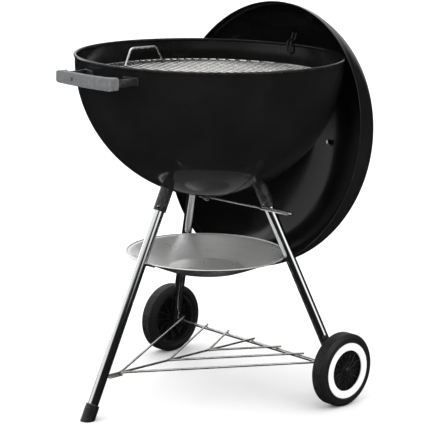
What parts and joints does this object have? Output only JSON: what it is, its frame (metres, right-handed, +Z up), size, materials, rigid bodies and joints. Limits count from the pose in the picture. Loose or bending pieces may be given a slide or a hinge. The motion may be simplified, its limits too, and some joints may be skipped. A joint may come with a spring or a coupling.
{
  "type": "kettle charcoal grill",
  "caption": "Round kettle charcoal grill on three tubular legs, two on wheels, with its domed lid hung on the rim, wire rack, ash pan, swept bottom vent and side handle.",
  "frame": {"origin": "floor point under the middle of the whole grill", "axes": "+Z up; the front leg and the bowl handle face -Y, the wheels stand at +X and -X, and the lid hangs at +Y"},
  "size_m": [0.584, 0.7404, 0.8311],
  "materials": {
    "enamel": "gloss black porcelain enamel",
    "chrome": "bright plated tube",
    "plated": "bright plated wire",
    "aluminium": "satin spun aluminium",
    "black_steel": "semi-gloss black coating",
    "black_plastic": "moulded, slightly satin",
    "grey_plastic": "glass-filled moulded plastic, matt",
    "white_plastic": "moulded white"
  },
  "bodies": {
    "stand": {"bowl": "enamel", "leg_socket_front": "black_steel", "leg_socket_right": "black_steel", "leg_socket_left": "black_steel", "leg_front": "chrome", "leg_right": "chrome", "leg_left": "chrome", "foot_cap": "black_plastic", "axle": "plated", "axle_cap_right": "black_plastic", "axle_cap_left": "black_plastic", "rack_centre": "plated", "rack_outer_right": "plated", "rack_outer_left": "plated", "rack_middle_right": "plated", "rack_middle_left": "plated", "rack_inner_right": "plated", "rack_inner_left": "plated", "rack_clip": "plated", "ash_pan": "aluminium", "pan_clip_front": "black_steel", "pan_clip_right": "black_steel", "pan_clip_left": "black_steel", "grate_bracket_1": "plated", "grate_bracket_2": "plated", "grate_bracket_3": "plated", "grate_bracket_4": "plated", "bowl_handle_grip": "grey_plastic", "bowl_handle_arm_right": "black_steel", "bowl_handle_arm_left": "black_steel"},
    "vent_control": {"vent_blades": "aluminium", "vent_lever": "plated", "vent_nut": "plated"},
    "wheel_right": {"tyre_right": "black_plastic", "wheel_hub_right": "black_plastic", "wheel_ring_right": "white_plastic"},
    "wheel_left": {"tyre_left": "black_plastic", "wheel_hub_left": "black_plastic", "wheel_ring_left": "white_plastic"},
    "lid": {"lid": "enamel", "damper_rivet": "aluminium", "lid_handle_shield": "chrome", "lid_handle_spacer_right": "black_plastic", "lid_handle_bolt_right": "chrome", "lid_handle_spacer_left": "black_plastic", "lid_handle_bolt_left": "chrome", "lid_handle_grip": "grey_plastic", "lid_hook": "plated"},
    "damper": {"lid_damper": "aluminium"},
    "cooking_grate": {"cooking_grate": "plated", "grate_loop_right": "plated", "grate_loop_left": "plated"},
    "charcoal_grate": {"charcoal_grate": "black_steel"},
    "button_front": {"leg_button_front": "chrome"},
    "button_right": {"leg_button_right": "chrome"},
    "button_left": {"leg_button_left": "chrome"}
  },
  "joints": [
    {"name": "vent_turn", "type": "hinge", "parent": "stand", "child": "vent_control", "pos_m": [0, -0.0192, 0.43], "axis": [0, 0, 1], "range_deg": [-62, 12]},
    {"name": "wheel_right_spin", "type": "hinge", "parent": "stand", "child": "wheel_right", "pos_m": [0.269, 0.12709, 0.0785], "axis": [1, 0, 0], "continuous": true},
    {"name": "wheel_left_spin", "type": "hinge", "parent": "stand", "child": "wheel_left", "pos_m": [-0.269, 0.12709, 0.0785], "axis": [1, 0, 0], "continuous": true},
    {"name": "lid_swing", "type": "hinge", "parent": "stand", "child": "lid", "pos_m": [0, 0.26048, 0.7295], "axis": [1, 0, 0], "range_deg": [0, 4]},
    {"name": "damper_turn", "type": "hinge", "parent": "lid", "child": "damper", "pos_m": [-0.118, 0.29608, 0.51793], "axis": [-0.3568, 0.9182, -0.1718], "range_deg": [0, 45]},
    {"name": "cooking_grate_lift", "type": "slide", "parent": "stand", "child": "cooking_grate", "axis": [0, 0, 1], "range_m": [0, 0.035]},
    {"name": "charcoal_grate_lift", "type": "slide", "parent": "stand", "child": "charcoal_grate", "axis": [0, 0, 1], "range_m": [0, 0.11]},
    {"name": "button_front_press", "type": "slide", "parent": "stand", "child": "button_front", "axis": [-0.4226, 0.9063, 0], "range_m": [0, 0.0025], "stiffness_N_per_m": 400, "springref_m": -0.004},
    {"name": "button_right_press", "type": "slide", "parent": "stand", "child": "button_right", "axis": [-0.342, 0.9397, 0], "range_m": [0, 0.0025], "stiffness_N_per_m": 400, "springref_m": -0.004},
    {"name": "button_left_press", "type": "slide", "parent": "stand", "child": "button_left", "axis": [0.342, 0.9397, 0], "range_m": [0, 0.0025], "stiffness_N_per_m": 400, "springref_m": -0.004}
  ]
}
